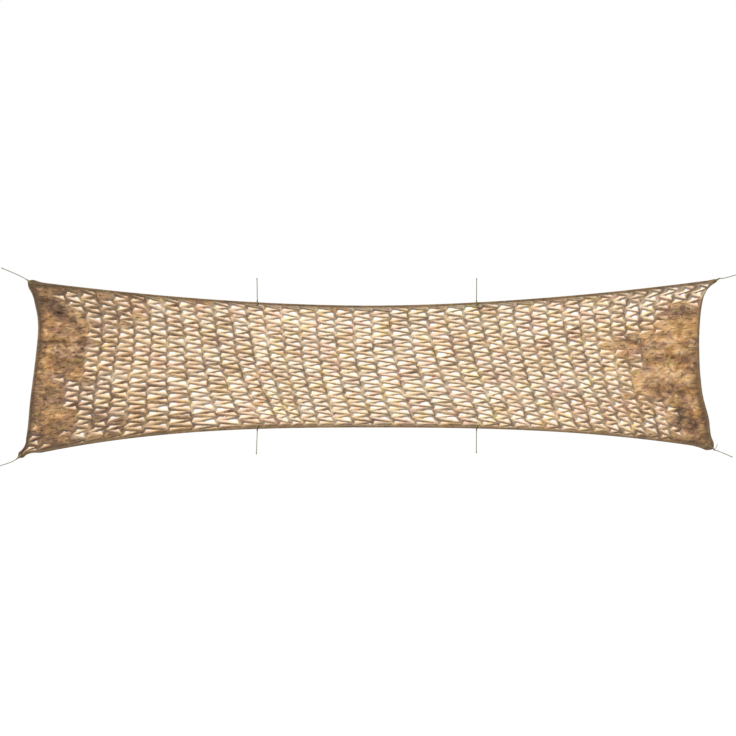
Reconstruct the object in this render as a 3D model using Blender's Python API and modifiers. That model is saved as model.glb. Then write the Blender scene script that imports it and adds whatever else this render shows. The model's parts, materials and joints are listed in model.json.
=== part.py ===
"""Camouflage netting, 6.2 m long: slit cloth with a rolled hem, stretched between eight cord ties.

Metres. +X runs along the net, +Z is up and +Y points away from the side that is seen.
The origin is the middle of the top hem's outer edge.
"""

import math
from bisect import bisect_right

import bmesh
import bpy
from mathutils import Matrix, Vector

# The four drawn-out corners of the cloth as (x, z), and the height of its narrow middle.
TOP_LEFT = Vector((-3.000, 0.220))
TOP_RIGHT = Vector((3.090, 0.234))
BOTTOM_LEFT = Vector((-3.087, -1.343))
BOTTOM_RIGHT = Vector((3.047, -1.265))
MIDDLE_HEIGHT = 1.076
# The long edges rise to the corners by this power of the distance from the middle.
TOP_EDGE_POWER = 1.8
BOTTOM_EDGE_POWER = 2.65
# Each end bows in from the line between its corners: (share of the way down, bow).
LEFT_END_BOW = ((0.00, 0.000), (0.04, 0.022), (0.11, 0.063), (0.24, 0.110), (0.41, 0.107),
                (0.68, 0.078), (0.89, 0.061), (0.95, 0.022), (1.00, 0.000))
RIGHT_END_BOW = ((0.00, 0.000), (0.05, 0.081), (0.12, 0.131), (0.30, 0.154), (0.48, 0.146),
                 (0.58, 0.132), (0.69, 0.106), (0.83, 0.046), (0.94, 0.029), (1.00, 0.000))
END_BOW_FADE = 3

# Slit lattice: strips along the net, rows down it, and two staggered openings to a cell.
STRIPS = 20
ROWS = 8
# (strip, share of the net's length), so that strips are widest in the stretched middle.
STRIP_PLACES = ((0.00, 0.0000), (6.85, 0.3322), (12.85, 0.6498), (20.00, 1.0000))
# (strip, how many strips the slit line has drifted to the right at the bottom edge).
STRIP_DRIFT = ((0.00, 0.00), (3.00, 0.05), (5.85, 1.22), (8.00, 0.75), (10.00, 0.75),
               (11.85, 1.19), (14.00, 1.05), (16.00, 0.95), (18.50, 0.35), (20.00, 0.00))
# Lines in the left half bend with this power of the way down, those in the right half run straight.
DRIFT_POWER_LEFT = 1.8
DRIFT_POWER_RIGHT = 1.0
DRIFT_POWER_CHANGE = (0.45, 0.65)
STRAND_HALF_WIDTH = 0.0145
EDGE_STRAND_WIDTH = 0.0095
STRAND_LIP = 0.006

# Cloth bunched together, its slits shut, as ellipses (x, z, half length, half height).
CLOSED_PATCHES = ((-2.734, -0.525, 0.32, 0.51), (2.752, -0.551, 0.35, 0.55),
                  (2.152, -0.463, 0.11, 0.25))
PATCH_SOFTNESS = 0.6
PATCH_NARROWING = 0.9

CLOTH_THICKNESS = 0.002
HEM_WIDTH = 0.016
HEM_THICKNESS = 0.008
# The cloth's one vertex group, which says where it is as thick as its hem.
HEM_GROUP = 0

# Slack waves of the whole cloth: (depth, length along x, length along z, phase).
BILLOWS = ((0.022, 2.70, 2.10, 0.4), (0.013, 1.15, 0.90, 1.9), (0.007, 0.52, 1.40, 3.1))
# The hem itself wavers a little: (depth, length along x, phase).
HEM_WAVE = (0.0035, 1.60, 0.7)
FLAT_BORDER = 0.045
SLACK_BORDER = 0.26
# Main folds: (x, z) of both ends, half width, and height towards the viewer.
FOLDS = (
    (-2.85, -0.24, -2.61, -0.22, 0.050, 0.014),
    (-2.88, -0.33, -2.69, -0.34, 0.034, -0.012),
    (-2.79, -0.40, -2.58, -0.40, 0.038, 0.014),
    (-2.85, -0.43, -2.76, -0.46, 0.034, -0.010),
    (-2.73, -0.53, -2.52, -0.52, 0.038, -0.014),
    (-2.72, -0.07, -2.55, -0.24, 0.034, -0.014),
    (-2.77, -0.76, -2.73, -0.90, 0.034, -0.012),
    (-2.85, -0.97, -2.72, -1.01, 0.040, 0.012),
    (-2.93, -1.10, -2.85, -1.04, 0.034, 0.010),
    (-2.85, -1.17, -2.76, -1.20, 0.034, -0.010),
    (2.75, -0.06, 2.84, -0.10, 0.040, -0.010),
    (2.49, -0.35, 2.86, -0.33, 0.042, 0.013),
    (2.46, -0.49, 2.86, -0.48, 0.042, -0.013),
    (2.44, -0.62, 2.88, -0.67, 0.050, 0.015),
    (2.53, -0.75, 2.80, -0.78, 0.036, -0.015),
    (2.53, -0.95, 2.68, -1.01, 0.040, 0.012),
    (2.75, -0.92, 2.78, -1.08, 0.036, -0.011),
    (2.10, -0.26, 2.20, -0.68, 0.060, 0.012),
)

# Cord of the ties, and the two turns in which each one holds the hem.
CORD_DIAMETER = 0.007
CORD_POINT_SPACING = 0.013
PIECE_GAP = 0.0003
TURN_GAP = 0.0005
TURN_SEAT = 0.0012
TURN_STEPS = 5
MERGE_DISTANCE = 0.00001
EDGE_TURN_REACH = 0.0265
CORNER_TURN_REACH = 0.044
CORNER_HOLE_DIAMETER = 0.019
CORNER_HOLE_SIDES = 8
CORNER_PEG_LENGTH = 0.05
HITCH_KNOT_RADIUS = 0.0100
END_KNOT_RADIUS = 0.0085
KNOT_SLIMNESS = 0.9

# Cord routes in (x, z), from the knot at the hem outwards, each to its free end.
CORNER_ROUTES = {
    "top_left": ((-3.069, 0.261), (-3.150, 0.297), (-3.224, 0.328)),
    "top_right": ((3.131, 0.240), (3.190, 0.254), (3.262, 0.275)),
    "bottom_left": ((-3.130, -1.372), (-3.190, -1.396), (-3.262, -1.416)),
    "bottom_right": ((3.100, -1.288), (3.155, -1.311), (3.205, -1.333)),
}
# (x at the hem, x and z of the free end).
EDGE_ROUTES = {
    "top_mid_left": (-0.977, -0.979, 0.232),
    "top_mid_right": (0.957, 0.958, 0.230),
    "bottom_mid_left": (-0.977, -0.984, -1.300),
    "bottom_mid_right": (0.957, 0.955, -1.292),
}

DEPTH = Vector((0.0, 1.0, 0.0))


def value_along(table, place):
    """The value at this place on a smooth curve through rows of (place, value)."""
    places = [row[0] for row in table]
    first = min(max(bisect_right(places, place) - 1, 0), len(table) - 2)

    def slope(row):
        before, after = table[max(row - 1, 0)], table[min(row + 1, len(table) - 1)]
        return (after[1] - before[1]) / (after[0] - before[0])

    width = places[first + 1] - places[first]
    share = min(max((place - places[first]) / width, 0.0), 1.0)
    start, end = table[first][1], table[first + 1][1]
    rise = share * share * (3 - 2 * share)
    lead_out = share * (1 - share) ** 2 * width * slope(first)
    lead_in = share * share * (1 - share) * width * slope(first + 1)
    return start + (end - start) * rise + lead_out - lead_in


def smooth_step(low, high, value):
    share = min(max((value - low) / (high - low), 0.0), 1.0)
    return share * share * (3 - 2 * share)


def top_edge(share):
    """Outer edge of the top hem, from its left corner (0) to its right one (1)."""
    x = TOP_LEFT.x + (TOP_RIGHT.x - TOP_LEFT.x) * share
    corner = TOP_RIGHT if x > 0 else TOP_LEFT
    return Vector((x, corner.y * (x / corner.x) ** TOP_EDGE_POWER))


def bottom_edge(share):
    x = BOTTOM_LEFT.x + (BOTTOM_RIGHT.x - BOTTOM_LEFT.x) * share
    corner = BOTTOM_RIGHT if x > 0 else BOTTOM_LEFT
    drop = (-corner.y - MIDDLE_HEIGHT) * (x / corner.x) ** BOTTOM_EDGE_POWER
    return Vector((x, -MIDDLE_HEIGHT - drop))


def cloth_point(strip, row):
    """Where a place of the lattice lies in the (x, z) plane; both may be fractions."""
    down = row / ROWS
    right_share = smooth_step(*DRIFT_POWER_CHANGE, strip / STRIPS)
    power = DRIFT_POWER_LEFT + (DRIFT_POWER_RIGHT - DRIFT_POWER_LEFT) * right_share
    drifted = strip + value_along(STRIP_DRIFT, strip) * down ** power
    share = value_along(STRIP_PLACES, drifted)
    point = top_edge(share).lerp(bottom_edge(share), down)
    point.x += value_along(LEFT_END_BOW, down) * (1 - share) ** END_BOW_FADE
    point.x -= value_along(RIGHT_END_BOW, down) * share ** END_BOW_FADE
    return point


def border_distance(x, z):
    """Roughly how far a point of the cloth lies inside its nearest edge."""
    top = top_edge((x - TOP_LEFT.x) / (TOP_RIGHT.x - TOP_LEFT.x)).y
    bottom = bottom_edge((x - BOTTOM_LEFT.x) / (BOTTOM_RIGHT.x - BOTTOM_LEFT.x)).y
    down = min(max((TOP_LEFT.y - z) / (TOP_LEFT.y - BOTTOM_LEFT.y), 0.0), 1.0)
    left = TOP_LEFT.x + (BOTTOM_LEFT.x - TOP_LEFT.x) * down + value_along(LEFT_END_BOW, down)
    right = TOP_RIGHT.x + (BOTTOM_RIGHT.x - TOP_RIGHT.x) * down - value_along(RIGHT_END_BOW, down)
    return min(top - z, z - bottom, x - left, right - x)


def fold_height(fold, x, z):
    """Height of one fold at a point: a soft ridge or trough that fades past its ends."""
    start, end = Vector(fold[0:2]), Vector(fold[2:4])
    run = end - start
    nearest = start + run * min(max((Vector((x, z)) - start).dot(run) / run.length_squared, 0.0), 1.0)
    return fold[5] * math.exp(-((Vector((x, z)) - nearest).length / fold[4]) ** 2)


def cloth_depth(x, z):
    """Depth of the cloth behind the hem's plane: slack waves and folds, calm at the border."""
    depth = HEM_WAVE[0] * math.sin(math.tau * x / HEM_WAVE[1] + HEM_WAVE[2])
    slack = smooth_step(FLAT_BORDER, SLACK_BORDER, border_distance(x, z))
    for height, length, drop, phase in BILLOWS:
        depth += slack * height * math.sin(math.tau * (x / length + z / drop) + phase)
    folded = smooth_step(FLAT_BORDER, 2 * FLAT_BORDER, border_distance(x, z))
    return depth - folded * sum(fold_height(fold, x, z) for fold in FOLDS)


def patch_distance(x, z):
    """1 on the rim of the nearest closed patch, less inside it and more outside."""
    return min(math.hypot((x - patch[0]) / patch[2], (z - patch[1]) / patch[3])
               for patch in CLOSED_PATCHES)


def material(name, colour, roughness):
    made = bpy.data.materials.new(name)
    made.use_nodes = True
    shader = made.node_tree.nodes["Principled BSDF"]
    shader.inputs["Base Color"].default_value = (*colour, 1.0)
    shader.inputs["Roughness"].default_value = roughness
    shader.inputs["Metallic"].default_value = 0.0
    return made


def add_object(name, data, collection, look=None):
    made = bpy.data.objects.new(name, data)
    collection.objects.link(made)
    if look:
        data.materials.append(look)
    return made


def add_helper(name, mesh, cutters):
    """A mesh that only cuts or joins another, so it isn't drawn."""
    made = add_object(name, mesh, cutters)
    made.hide_render = True
    made.display_type = "WIRE"
    return made


def lattice():
    """The flat cloth in the XZ plane, its strips divided into staggered tiles."""
    bm = bmesh.new()
    bm.verts.layers.deform.new("hem")
    bmesh.ops.create_grid(bm, x_segments=STRIPS, y_segments=2 * ROWS, size=0.5)
    place = {vert: (round((vert.co.x + 0.5) * STRIPS), round((0.5 - vert.co.y) * 2 * ROWS))
             for vert in bm.verts}
    for face in bm.faces[:]:
        corner = {place[vert]: vert for vert in face.verts}
        strip, half_row = min(corner)
        if half_row % 2 == 0:
            ends = (strip, half_row), (strip + 1, half_row + 1)
        else:
            ends = (strip + 1, half_row), (strip, half_row + 1)
        bmesh.utils.face_split(face, corner[ends[0]], corner[ends[1]])
    level = [edge for edge in bm.edges if not edge.is_boundary
             and place[edge.verts[0]][1] == place[edge.verts[1]][1]]
    bmesh.ops.dissolve_edges(bm, edges=level, use_verts=False)
    for vert, (strip, half_row) in place.items():
        point = cloth_point(strip, half_row / 2)
        vert.co = (point.x, 0.0, point.y)
    return bm


def add_hem(bm):
    """Two narrow bands round the cloth; the line between them is the thick middle of the roll."""
    outer = bmesh.ops.inset_region(bm, faces=bm.faces[:], thickness=HEM_WIDTH / 2,
                                   use_boundary=True, use_even_offset=True)["faces"]
    ridge = {vert for face in outer for vert in face.verts if not vert.is_boundary}
    within = [face for face in bm.faces if face not in set(outer)]
    inner = bmesh.ops.inset_region(bm, faces=within, thickness=HEM_WIDTH / 2,
                                   use_boundary=True, use_even_offset=True)["faces"]
    for vert in ridge:
        vert[bm.verts.layers.deform.active][HEM_GROUP] = 1.0
    return set(outer) | set(inner)


def cut_openings(bm, hem):
    """Opens each tile outside the closed patches; returns the lips' depth and the shut tiles."""
    border = {vert for face in hem for vert in face.verts}
    lips, shut, holes = {}, [], []
    for tile in [face for face in bm.faces if face not in hem]:
        middle = tile.calc_center_median()
        distance = patch_distance(middle.x, middle.z)
        if distance < 1.0:
            shut.append(tile)
            continue
        width = EDGE_STRAND_WIDTH if len(set(tile.verts) & border) > 1 else STRAND_HALF_WIDTH
        width *= 1 + PATCH_NARROWING * math.exp((1 - distance) / PATCH_SOFTNESS)
        bmesh.ops.inset_individual(bm, faces=[tile], thickness=width, use_even_offset=True)
        for vert in tile.verts:
            calm = smooth_step(FLAT_BORDER, 3 * FLAT_BORDER, border_distance(vert.co.x, vert.co.z))
            lips[vert] = calm * (STRAND_LIP if vert.co.z < middle.z else -STRAND_LIP)
        holes.append(tile)
    bmesh.ops.delete(bm, geom=holes, context="FACES_ONLY")
    return lips, shut


def cloth_mesh(name):
    bm = lattice()
    hem = add_hem(bm)
    lips, shut = cut_openings(bm, hem)
    shut_edges = list({edge for tile in shut for edge in tile.edges})
    bmesh.ops.subdivide_edges(bm, edges=shut_edges, cuts=1, use_grid_fill=True)
    for vert in bm.verts:
        vert.co.y = cloth_depth(vert.co.x, vert.co.z) + lips.get(vert, 0.0)
    bmesh.ops.recalc_face_normals(bm, faces=bm.faces)
    mesh = bpy.data.meshes.new(name)
    bm.to_mesh(mesh)
    bm.free()
    return mesh


def on_cloth(point):
    """The point of the cloth at this (x, z)."""
    return Vector((point.x, cloth_depth(point.x, point.y), point.y))


def corner_frame(corner, neighbours):
    """A corner of the cloth and its outward direction, away from the hems that meet there."""
    inward = sum(((point - corner).normalized() for point in neighbours), Vector((0.0, 0.0)))
    anchor = on_cloth(corner)
    return anchor, (anchor - on_cloth(corner + inward.normalized() * CORNER_TURN_REACH)).normalized()


def corner_frames():
    """Each corner's frame, from the first lattice points along both of its hems."""
    last = STRIPS
    return {
        "top_left": corner_frame(TOP_LEFT, (cloth_point(1, 0), cloth_point(0, 0.5))),
        "top_right": corner_frame(TOP_RIGHT, (cloth_point(last - 1, 0), cloth_point(last, 0.5))),
        "bottom_left": corner_frame(BOTTOM_LEFT, (cloth_point(1, ROWS), cloth_point(0, ROWS - 0.5))),
        "bottom_right": corner_frame(
            BOTTOM_RIGHT, (cloth_point(last - 1, ROWS), cloth_point(last, ROWS - 0.5))),
    }


def corner_hole_mesh(corners):
    """One peg through the cloth at each corner, where the tie's turns pass."""
    bm = bmesh.new()
    for anchor, outward in corners:
        centre = anchor - outward * (CORNER_TURN_REACH + CORD_DIAMETER / 2)
        turn = Matrix.Rotation(math.pi / 2, 4, "X")
        bmesh.ops.create_cone(bm, cap_ends=True, segments=CORNER_HOLE_SIDES, depth=CORNER_PEG_LENGTH,
                              radius1=CORNER_HOLE_DIAMETER / 2, radius2=CORNER_HOLE_DIAMETER / 2,
                              matrix=Matrix.Translation(centre) @ turn)
    mesh = bpy.data.meshes.new("corner_holes")
    bm.to_mesh(mesh)
    bm.free()
    return mesh


def build_cloth(corners, collection, cutters, look):
    cloth = add_object("net_cloth", cloth_mesh("net_cloth"), collection, look)
    hem_group = cloth.vertex_groups.new(name="hem")
    solidify = cloth.modifiers.new("thickness", "SOLIDIFY")
    solidify.thickness = HEM_THICKNESS
    solidify.vertex_group = hem_group.name
    solidify.thickness_vertex_group = CLOTH_THICKNESS / HEM_THICKNESS
    solidify.offset = 0.0
    holes = cloth.modifiers.new("corner_holes", "BOOLEAN")
    holes.operation = "DIFFERENCE"
    holes.object = add_helper("corner_holes", corner_hole_mesh(corners), cutters)
    return cloth


def hem_anchor(x, row):
    """The hem's outer edge at this x, on its straight run between lattice points, and the way out."""
    stations = [cloth_point(strip, row) for strip in range(STRIPS + 1)]
    after = next(number for number, point in enumerate(stations) if point.x > x)
    start, end = on_cloth(stations[after - 1]), on_cloth(stations[after])
    anchor = start.lerp(end, (x - start.x) / (end.x - start.x))
    upwards = (end - start).normalized().cross(DEPTH)
    return anchor, upwards if row == 0 else -upwards


def frame_at(anchor, outward):
    """Matrix whose X points outwards along the cloth, and Y through it."""
    across = outward.cross(DEPTH).normalized()
    axes = Matrix((outward, across.cross(outward), across)).transposed()
    return Matrix.Translation(anchor) @ axes.to_4x4()


def turns_mesh(name, points):
    """Mesh of two turns of cord side by side, round a closed path in the XY plane."""
    curve = bpy.data.curves.new(name, "CURVE")
    curve.dimensions = "3D"
    curve.bevel_depth = CORD_DIAMETER / 2
    curve.bevel_resolution = 1
    curve.extrude = CORD_DIAMETER / 2
    spline = curve.splines.new("POLY")
    spline.points.add(len(points) - 1)
    for target, point in zip(spline.points, points):
        target.co = (point[0], point[1], 0.0, 1.0)
    spline.use_cyclic_u = True
    guide = bpy.data.objects.new(name, curve)
    bpy.context.scene.collection.objects.link(guide)
    bpy.context.view_layer.update()
    evaluated = guide.evaluated_get(bpy.context.evaluated_depsgraph_get())
    mesh = bpy.data.meshes.new_from_object(evaluated)
    bpy.data.objects.remove(guide)
    bpy.data.curves.remove(curve)
    bm = bmesh.new()
    bm.from_mesh(mesh)
    bmesh.ops.remove_doubles(bm, verts=bm.verts, dist=MERGE_DISTANCE)
    bmesh.ops.recalc_face_normals(bm, faces=bm.faces)
    bm.to_mesh(mesh)
    bm.free()
    return mesh


def knot_mesh(name, radius, centre):
    """A small tight knot: a ball, a little long in the cord's direction."""
    bm = bmesh.new()
    shape = Matrix.Diagonal((1.0, KNOT_SLIMNESS, KNOT_SLIMNESS, 1.0))
    bmesh.ops.create_icosphere(bm, subdivisions=2, radius=radius,
                               matrix=Matrix.Translation(centre) @ shape)
    mesh = bpy.data.meshes.new(name)
    bm.to_mesh(mesh)
    bm.free()
    return mesh


def turn_path(reach):
    """Centre line of the turns: a long loop round the hem, through the cloth at its far end."""
    half = HEM_THICKNESS / 2 + TURN_GAP
    radius = half + CORD_DIAMETER / 2
    points = []
    for middle, start in ((TURN_SEAT - half, -math.pi / 2), (half - reach, math.pi / 2)):
        for step in range(TURN_STEPS + 1):
            angle = start + math.pi * step / TURN_STEPS
            points.append((middle + radius * math.cos(angle), radius * math.sin(angle)))
    return points


def add_hitch(place, anchor, outward, reach, collection, cutters, look):
    """Two turns of the tie round the hem with a knot outside it; returns the knot's centre."""
    name = "tie_hitch_" + place
    hitch = add_object(name, turns_mesh(name, turn_path(reach)), collection, look)
    hitch.matrix_world = frame_at(anchor, outward)
    centre = Vector((TURN_SEAT + HITCH_KNOT_RADIUS, 0.0, 0.0))
    knot = add_helper(name + "_knot", knot_mesh(name + "_knot", HITCH_KNOT_RADIUS, centre), cutters)
    knot.matrix_world = hitch.matrix_world
    joined = hitch.modifiers.new("knot", "BOOLEAN")
    joined.operation = "UNION"
    joined.object = knot
    return anchor + outward * centre.x


def add_cord(place, route, collection, look):
    """A free cord along a smooth curve through its route, as a tube with flat ends."""
    lengths = [0.0]
    for before, after in zip(route, route[1:]):
        lengths.append(lengths[-1] + (after - before).length)
    tables = [[(length, point[axis]) for length, point in zip(lengths, route)] for axis in range(3)]
    steps = max(round(lengths[-1] / CORD_POINT_SPACING), 1)
    curve = bpy.data.curves.new("tie_cord_" + place, "CURVE")
    curve.dimensions = "3D"
    curve.bevel_depth = CORD_DIAMETER / 2
    curve.bevel_resolution = 2
    curve.use_fill_caps = True
    spline = curve.splines.new("POLY")
    spline.points.add(steps)
    for step, target in enumerate(spline.points):
        at = lengths[-1] * step / steps
        target.co = (*(value_along(table, at) for table in tables), 1.0)
    add_object("tie_cord_" + place, curve, collection, look)


def add_end_knot(place, end, direction, collection, look):
    """The knot that closes a tie's free end."""
    name = "tie_knot_" + place
    knot = add_object(name, knot_mesh(name, END_KNOT_RADIUS, Vector((0.0, 0.0, 0.0))), collection, look)
    knot.matrix_world = frame_at(end + direction * (END_KNOT_RADIUS + PIECE_GAP), direction)


def add_tie(place, centre, points, collection, look):
    """The free cord from the hitch's knot through these points, and its end knot."""
    start = centre + (points[0] - centre).normalized() * (HITCH_KNOT_RADIUS + PIECE_GAP)
    route = [start, *points]
    add_cord(place, route, collection, look)
    add_end_knot(place, route[-1], (route[-1] - route[-2]).normalized(), collection, look)


def build_ties(corners, collection, cutters, look):
    for place, (anchor, outward) in corners.items():
        centre = add_hitch(place, anchor, outward, CORNER_TURN_REACH, collection, cutters, look)
        points = [Vector((x, anchor.y, z)) for x, z in CORNER_ROUTES[place]]
        add_tie(place, centre, points, collection, look)
    for place, (x, end_x, end_z) in EDGE_ROUTES.items():
        anchor, outward = hem_anchor(x, 0 if end_z > 0 else ROWS)
        centre = add_hitch(place, anchor, outward, EDGE_TURN_REACH, collection, cutters, look)
        add_tie(place, centre, [Vector((end_x, anchor.y, end_z))], collection, look)


def main():
    for old in list(bpy.data.objects):
        bpy.data.objects.remove(old)
    scene = bpy.context.scene
    collection = bpy.data.collections.new("camouflage_netting")
    cutters = bpy.data.collections.new("cutters")
    scene.collection.children.link(collection)
    scene.collection.children.link(cutters)
    cloth_look = material("camouflage_cloth", (0.46, 0.33, 0.18), 0.85)
    cord_look = material("olive_cord", (0.17, 0.16, 0.10), 0.8)
    corners = corner_frames()
    build_cloth(corners.values(), collection, cutters, cloth_look)
    build_ties(corners, collection, cutters, cord_look)


main()
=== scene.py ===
"""Camouflage netting: slit cloth pulled open into a lattice, hung upright between eight cord ties."""

import json
import math
import random
from bisect import bisect_right
from functools import partial

import bmesh
import bpy
import numpy as np
from mathutils import Matrix, Vector, noise

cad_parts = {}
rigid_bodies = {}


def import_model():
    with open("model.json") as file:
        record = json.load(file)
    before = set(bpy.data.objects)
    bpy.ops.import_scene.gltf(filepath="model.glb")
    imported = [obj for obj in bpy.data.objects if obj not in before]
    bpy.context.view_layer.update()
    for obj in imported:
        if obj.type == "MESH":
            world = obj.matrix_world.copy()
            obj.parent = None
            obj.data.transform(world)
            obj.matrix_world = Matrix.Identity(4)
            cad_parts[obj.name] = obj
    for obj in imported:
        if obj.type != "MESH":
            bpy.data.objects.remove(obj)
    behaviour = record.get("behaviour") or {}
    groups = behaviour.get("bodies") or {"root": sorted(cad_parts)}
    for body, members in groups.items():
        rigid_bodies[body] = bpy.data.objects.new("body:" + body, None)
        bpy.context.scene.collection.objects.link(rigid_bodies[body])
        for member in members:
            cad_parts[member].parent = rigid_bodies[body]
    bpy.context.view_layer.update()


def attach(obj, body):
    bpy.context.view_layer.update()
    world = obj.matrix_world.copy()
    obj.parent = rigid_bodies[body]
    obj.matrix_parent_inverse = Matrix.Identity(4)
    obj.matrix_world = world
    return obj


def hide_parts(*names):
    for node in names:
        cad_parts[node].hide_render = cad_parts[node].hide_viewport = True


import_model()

# ---------------------------------------------------------------- The studio
# The netting hangs in the air in a plain white studio, seen square on from far enough
# away that its near and far folds look the same size. The light is broad and soft and
# comes from above the viewer's left shoulder.


def add_object(name, data):
    """A new object of the scene, made of this data."""
    made = bpy.data.objects.new(name, data)
    bpy.context.scene.collection.objects.link(made)
    return made


def set_inputs(node, inputs):
    """Sets a node's inputs to plain values, or joins them to outputs; a node stands for its first one."""
    for name, value in inputs.items():
        if isinstance(value, bpy.types.Node):
            value = value.outputs[0]
        if isinstance(value, bpy.types.NodeSocket):
            node.id_data.links.new(value, node.inputs[name])
        else:
            node.inputs[name].default_value = value


def add_node(tree, kind, inputs=None, **settings):
    """A new node with these settings and inputs."""
    node = tree.nodes.new(kind)
    for name, value in settings.items():
        setattr(node, name, value)
    set_inputs(node, inputs or {})
    return node


def new_finish(name):
    """A new material and its shader."""
    finish = bpy.data.materials.new(name)
    finish.use_nodes = True
    return finish, finish.node_tree.nodes["Principled BSDF"]


VIEW_WIDTH = 6.4915
VIEW_CENTRE = Vector((0.0, 0.0, -0.551))
VIEW_DISTANCE = 12.0
FARTHEST_SEEN = 200.0
SENSOR_WIDTH = 36.0

lens = bpy.data.cameras.new("camera")
lens.sensor_width = SENSOR_WIDTH
lens.lens = SENSOR_WIDTH * VIEW_DISTANCE / VIEW_WIDTH
lens.clip_end = FARTHEST_SEEN
camera = add_object("camera", lens)
camera.location = VIEW_CENTRE - Vector((0.0, VIEW_DISTANCE, 0.0))
camera.rotation_euler = (math.pi / 2, 0.0, 0.0)
bpy.context.scene.camera = camera
bpy.context.scene.view_settings.view_transform = "Standard"

FLOOR_HEIGHT = -5.0
FLOOR_SIZE = 16.0

floor_finish, floor_shader = new_finish("studio_floor")
set_inputs(floor_shader, {"Base Color": (0.8, 0.8, 0.8, 1.0), "Roughness": 0.9})
floor_mesh = bpy.data.meshes.new("studio_floor")
floor_corners = [(FLOOR_SIZE * x / 2, FLOOR_SIZE * y / 2, 0.0)
                 for x, y in ((-1, -1), (1, -1), (1, 1), (-1, 1))]
floor_mesh.from_pydata(floor_corners, [], [range(4)])
floor_mesh.materials.append(floor_finish)
floor = add_object("studio_floor", floor_mesh)
floor.location.z = FLOOR_HEIGHT

# The sky is pure white to the camera and dimmer as a lamp, so that the folds keep their shade.
SKY_LIGHT = 0.4
world = bpy.data.worlds.new("white_studio")
world.use_nodes = True
sky = world.node_tree
seen_sky = sky.nodes["Background"]
set_inputs(seen_sky, {"Color": (1.0, 1.0, 1.0, 1.0), "Strength": 1.0})
lamp_sky = add_node(sky, "ShaderNodeBackground", {"Color": (1.0, 0.99, 0.97, 1.0), "Strength": SKY_LIGHT})
ray_kind = add_node(sky, "ShaderNodeLightPath")
sky_mix = add_node(sky, "ShaderNodeMixShader", {
    "Fac": ray_kind.outputs["Is Camera Ray"], 1: lamp_sky, 2: seen_sky})
set_inputs(sky.nodes["World Output"], {"Surface": sky_mix})
bpy.context.scene.world = world

# (name, direction the light comes from, strength, angle across in degrees)
LAMPS = (
    ("key_light", (-0.5, -0.45, 0.74), 4.6, 10.0),
    ("back_light", (0.3, 0.8, 0.5), 0.9, 50.0),
)
for lamp_name, source, strength, angle in LAMPS:
    lamp_data = bpy.data.lights.new(lamp_name, "SUN")
    lamp_data.energy = strength
    lamp_data.angle = math.radians(angle)
    lamp = add_object(lamp_name, lamp_data)
    lamp.rotation_mode = "QUATERNION"
    lamp.rotation_quaternion = Vector(source).to_track_quat("Z", "Y")

# ---------------------------------------------------------------- Tie cords
# Each tie is a length of thin olive-grey polyester cord, three strands laid together.
# The corner ties run out to posts or trees beyond the picture; the ones on the long
# edges stand straight up and down from the hem.

CORD_DIAMETER = 0.007
CORD_LAY = 0.024
STRANDS = 3.0
STRAND_DEPTH = 0.13
SECTION_POINTS = 12
SECTION_SPACING = 0.002
# Points nearer to each other than this are one.
SAME_POINT = 0.000001

cord_finish, cord_shader = new_finish("olive_cord")
cord_node = partial(add_node, cord_finish.node_tree)
cord_place = cord_node("ShaderNodeTexCoord").outputs["Object"]
cord_shades = cord_node("ShaderNodeTexNoise", {"Vector": cord_place, "Scale": 55.0, "Detail": 3.0})
cord_colour = cord_node("ShaderNodeValToRGB", {"Fac": cord_shades})
dark_stop, pale_stop = cord_colour.color_ramp.elements
dark_stop.position, dark_stop.color = 0.32, (0.092, 0.076, 0.018, 1.0)
pale_stop.position, pale_stop.color = 0.68, (0.225, 0.186, 0.052, 1.0)
cord_fibres = cord_node("ShaderNodeTexNoise", {"Vector": cord_place, "Scale": 1900.0, "Detail": 2.0})
cord_bump = cord_node("ShaderNodeBump", {"Height": cord_fibres, "Strength": 0.6, "Distance": 0.0003})
set_inputs(cord_shader, {
    "Base Color": cord_colour, "Roughness": 0.78, "Sheen Weight": 0.25, "Normal": cord_bump})


def add_maths(tree, operation, *values):
    """A maths node on plain numbers or outputs."""
    return add_node(tree, "ShaderNodeMath", dict(enumerate(values)), operation=operation)


def new_group(name, sockets):
    """A geometry node tree with these numbers or kinds of input, its inputs, and their identifiers."""
    group = bpy.data.node_groups.new(name, "GeometryNodeTree")
    identifiers = {}
    for label, value in sockets.items():
        kind = value if isinstance(value, str) else "Float"
        socket = group.interface.new_socket(label, in_out="INPUT", socket_type="NodeSocket" + kind)
        if kind == "Float":
            socket.default_value = value
        identifiers[label] = socket.identifier
    return group, group.nodes.new("NodeGroupInput").outputs, identifiers


def end_group(group, name, made, finish):
    """Ends a geometry node tree: what is made is smooth, real and has its material."""
    group.interface.new_socket(name, in_out="OUTPUT", socket_type="NodeSocketGeometry")
    for kind in ("GeometryNodeSetShadeSmooth", "GeometryNodeRealizeInstances", "GeometryNodeSetMaterial"):
        made = add_node(group, kind, {"Geometry": made})
    set_inputs(made, {"Material": finish})
    add_node(group, "NodeGroupOutput", {name: made})


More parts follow.
